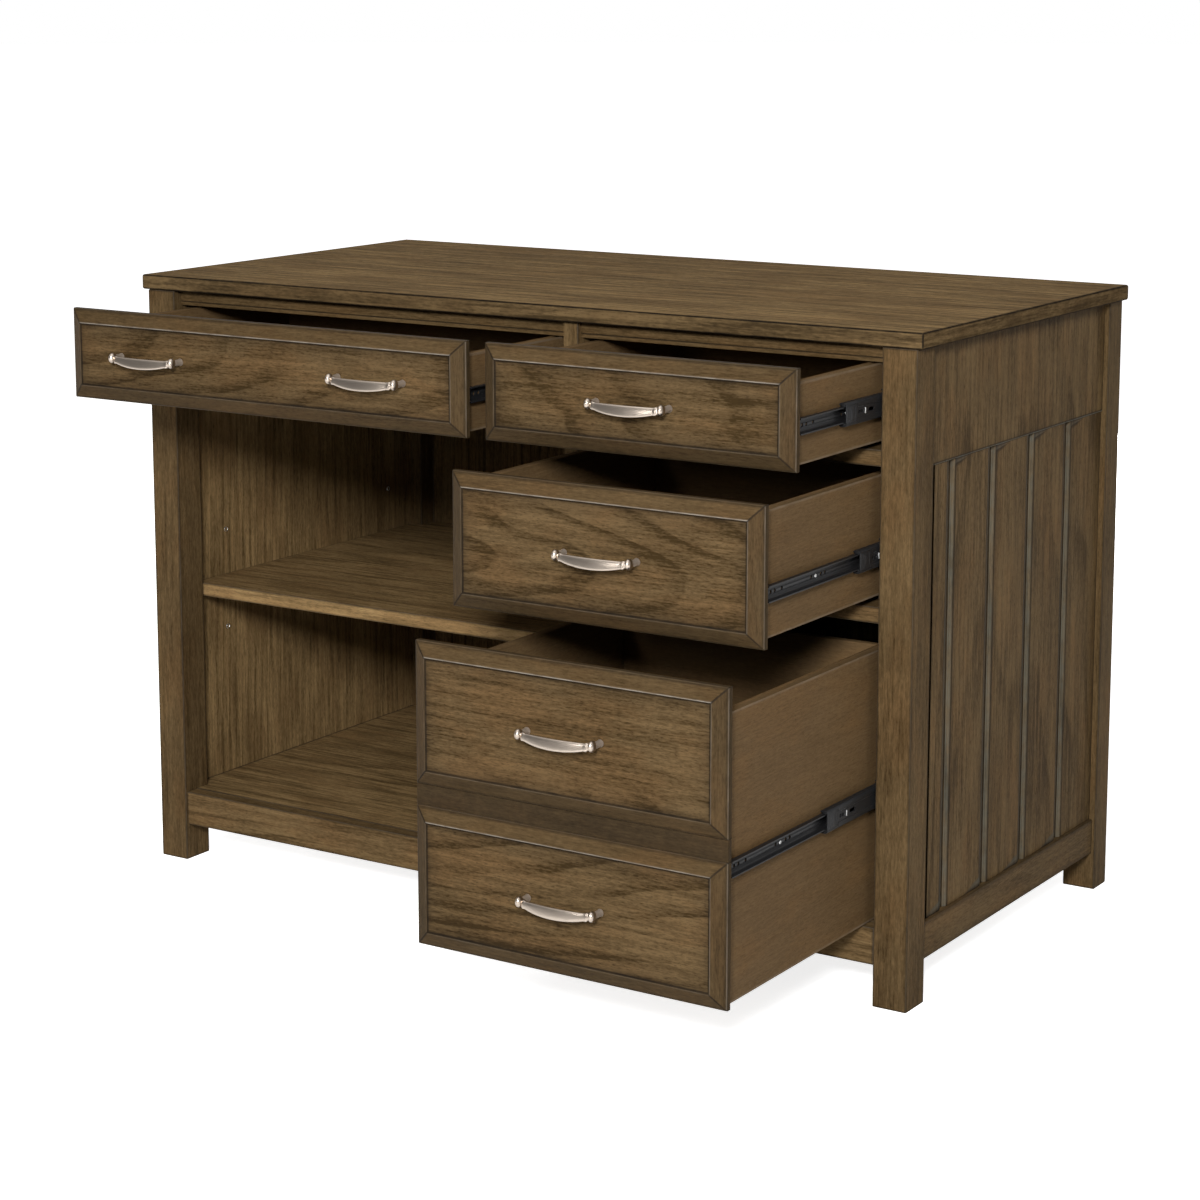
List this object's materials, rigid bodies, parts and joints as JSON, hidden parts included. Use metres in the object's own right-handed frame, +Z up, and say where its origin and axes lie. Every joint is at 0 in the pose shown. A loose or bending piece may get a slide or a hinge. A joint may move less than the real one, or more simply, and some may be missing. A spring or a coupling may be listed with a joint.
{
  "type": "credenza",
  "caption": "Wood office credenza: shallow drawers over an open shelf bay and a deep file drawer with two faux fronts, drawers on ball-bearing slides.",
  "frame": {"origin": "middle of the footprint of the whole object with its drawers as pictured, on the floor", "axes": "+X to the right seen from the front, -Y towards the user (the drawers pull that way), +Z up"},
  "size_m": [1.118, 0.9236, 0.775],
  "materials": {
    "worktop_wood": "satin grey-brown stain",
    "post_wood": "satin grey-brown stain",
    "side_wood": "satin grey-brown stain",
    "rail_wood": "satin grey-brown stain",
    "front_wood": "satin grey-brown stain",
    "inside_wood": "satin grey-brown stain",
    "box_wood": "plain smooth brown",
    "slide_steel": "black zinc",
    "pull_nickel": "satin nickel"
  },
  "bodies": {
    "case": {"worktop": "worktop_wood", "post_front_left": "post_wood", "post_front_right": "post_wood", "post_rear_left": "post_wood", "post_rear_right": "post_wood", "side_panel_left": "side_wood", "side_panel_right": "side_wood", "side_rail_left": "rail_wood", "side_rail_right": "rail_wood", "front_base_rail": "rail_wood", "rear_base_rail": "rail_wood", "top_front_rail": "rail_wood", "partition": "side_wood", "upper_drawer_rail": "rail_wood", "lower_drawer_rail": "rail_wood", "bottom_panel": "inside_wood", "shelf": "inside_wood", "back_panel": "inside_wood", "slide_1_left_outer": "slide_steel", "slide_1_right_outer": "slide_steel", "slide_2_left_outer": "slide_steel", "slide_2_right_outer": "slide_steel", "slide_3_left_outer": "slide_steel", "slide_3_right_outer": "slide_steel", "slide_4_left_outer": "slide_steel", "slide_4_right_outer": "slide_steel"},
    "drawer_1": {"drawer_1_front": "front_wood", "drawer_1_box": "box_wood", "drawer_1_bottom": "box_wood", "drawer_1_pull_left": "pull_nickel", "drawer_1_pull_right": "pull_nickel", "slide_1_left_inner": "slide_steel", "slide_1_right_inner": "slide_steel"},
    "drawer_2": {"drawer_2_front": "front_wood", "drawer_2_box": "box_wood", "drawer_2_bottom": "box_wood", "drawer_2_pull": "pull_nickel", "slide_2_left_inner": "slide_steel", "slide_2_right_inner": "slide_steel"},
    "drawer_3": {"drawer_3_front": "front_wood", "drawer_3_box": "box_wood", "drawer_3_bottom": "box_wood", "drawer_3_pull": "pull_nickel", "slide_3_left_inner": "slide_steel", "slide_3_right_inner": "slide_steel"},
    "drawer_4": {"drawer_4_front": "front_wood", "drawer_4_box": "box_wood", "drawer_4_bottom": "box_wood", "drawer_4_pull_upper": "pull_nickel", "drawer_4_pull_lower": "pull_nickel", "slide_4_left_inner": "slide_steel", "slide_4_right_inner": "slide_steel"},
    "slide_1_middles": {"slide_1_left_middle": "slide_steel", "slide_1_right_middle": "slide_steel"},
    "slide_2_middles": {"slide_2_left_middle": "slide_steel", "slide_2_right_middle": "slide_steel"},
    "slide_3_middles": {"slide_3_left_middle": "slide_steel", "slide_3_right_middle": "slide_steel"},
    "slide_4_middles": {"slide_4_left_middle": "slide_steel", "slide_4_right_middle": "slide_steel"}
  },
  "joints": [
    {"name": "drawer_1_slide", "type": "slide", "parent": "case", "child": "drawer_1", "axis": [0, -1, 0], "range_m": [-0.194, 0.212]},
    {"name": "drawer_2_slide", "type": "slide", "parent": "case", "child": "drawer_2", "axis": [0, -1, 0], "range_m": [-0.1927, 0.2133]},
    {"name": "drawer_3_slide", "type": "slide", "parent": "case", "child": "drawer_3", "axis": [0, -1, 0], "range_m": [-0.2571, 0.1489]},
    {"name": "drawer_4_slide", "type": "slide", "parent": "case", "child": "drawer_4", "axis": [0, -1, 0], "range_m": [-0.3288, 0.0772]},
    {"name": "slide_1_middles_slide", "type": "slide", "parent": "case", "child": "slide_1_middles", "axis": [0, -1, 0], "range_m": [-0.0973, 0.1063]},
    {"name": "slide_2_middles_slide", "type": "slide", "parent": "case", "child": "slide_2_middles", "axis": [0, -1, 0], "range_m": [-0.09665, 0.10695]},
    {"name": "slide_3_middles_slide", "type": "slide", "parent": "case", "child": "slide_3_middles", "axis": [0, -1, 0], "range_m": [-0.0593, 0.03447]},
    {"name": "slide_4_middles_slide", "type": "slide", "parent": "case", "child": "slide_4_middles", "axis": [0, -1, 0], "range_m": [-0.1273, 0.03012]}
  ],
  "couplings": [
    {"joint": "slide_1_middles_slide", "follows": "drawer_1_slide", "ratio": 0.5},
    {"joint": "slide_2_middles_slide", "follows": "drawer_2_slide", "ratio": 0.5},
    {"joint": "slide_3_middles_slide", "follows": "drawer_3_slide", "ratio": 0.22948},
    {"joint": "slide_4_middles_slide", "follows": "drawer_4_slide", "ratio": 0.38625}
  ]
}
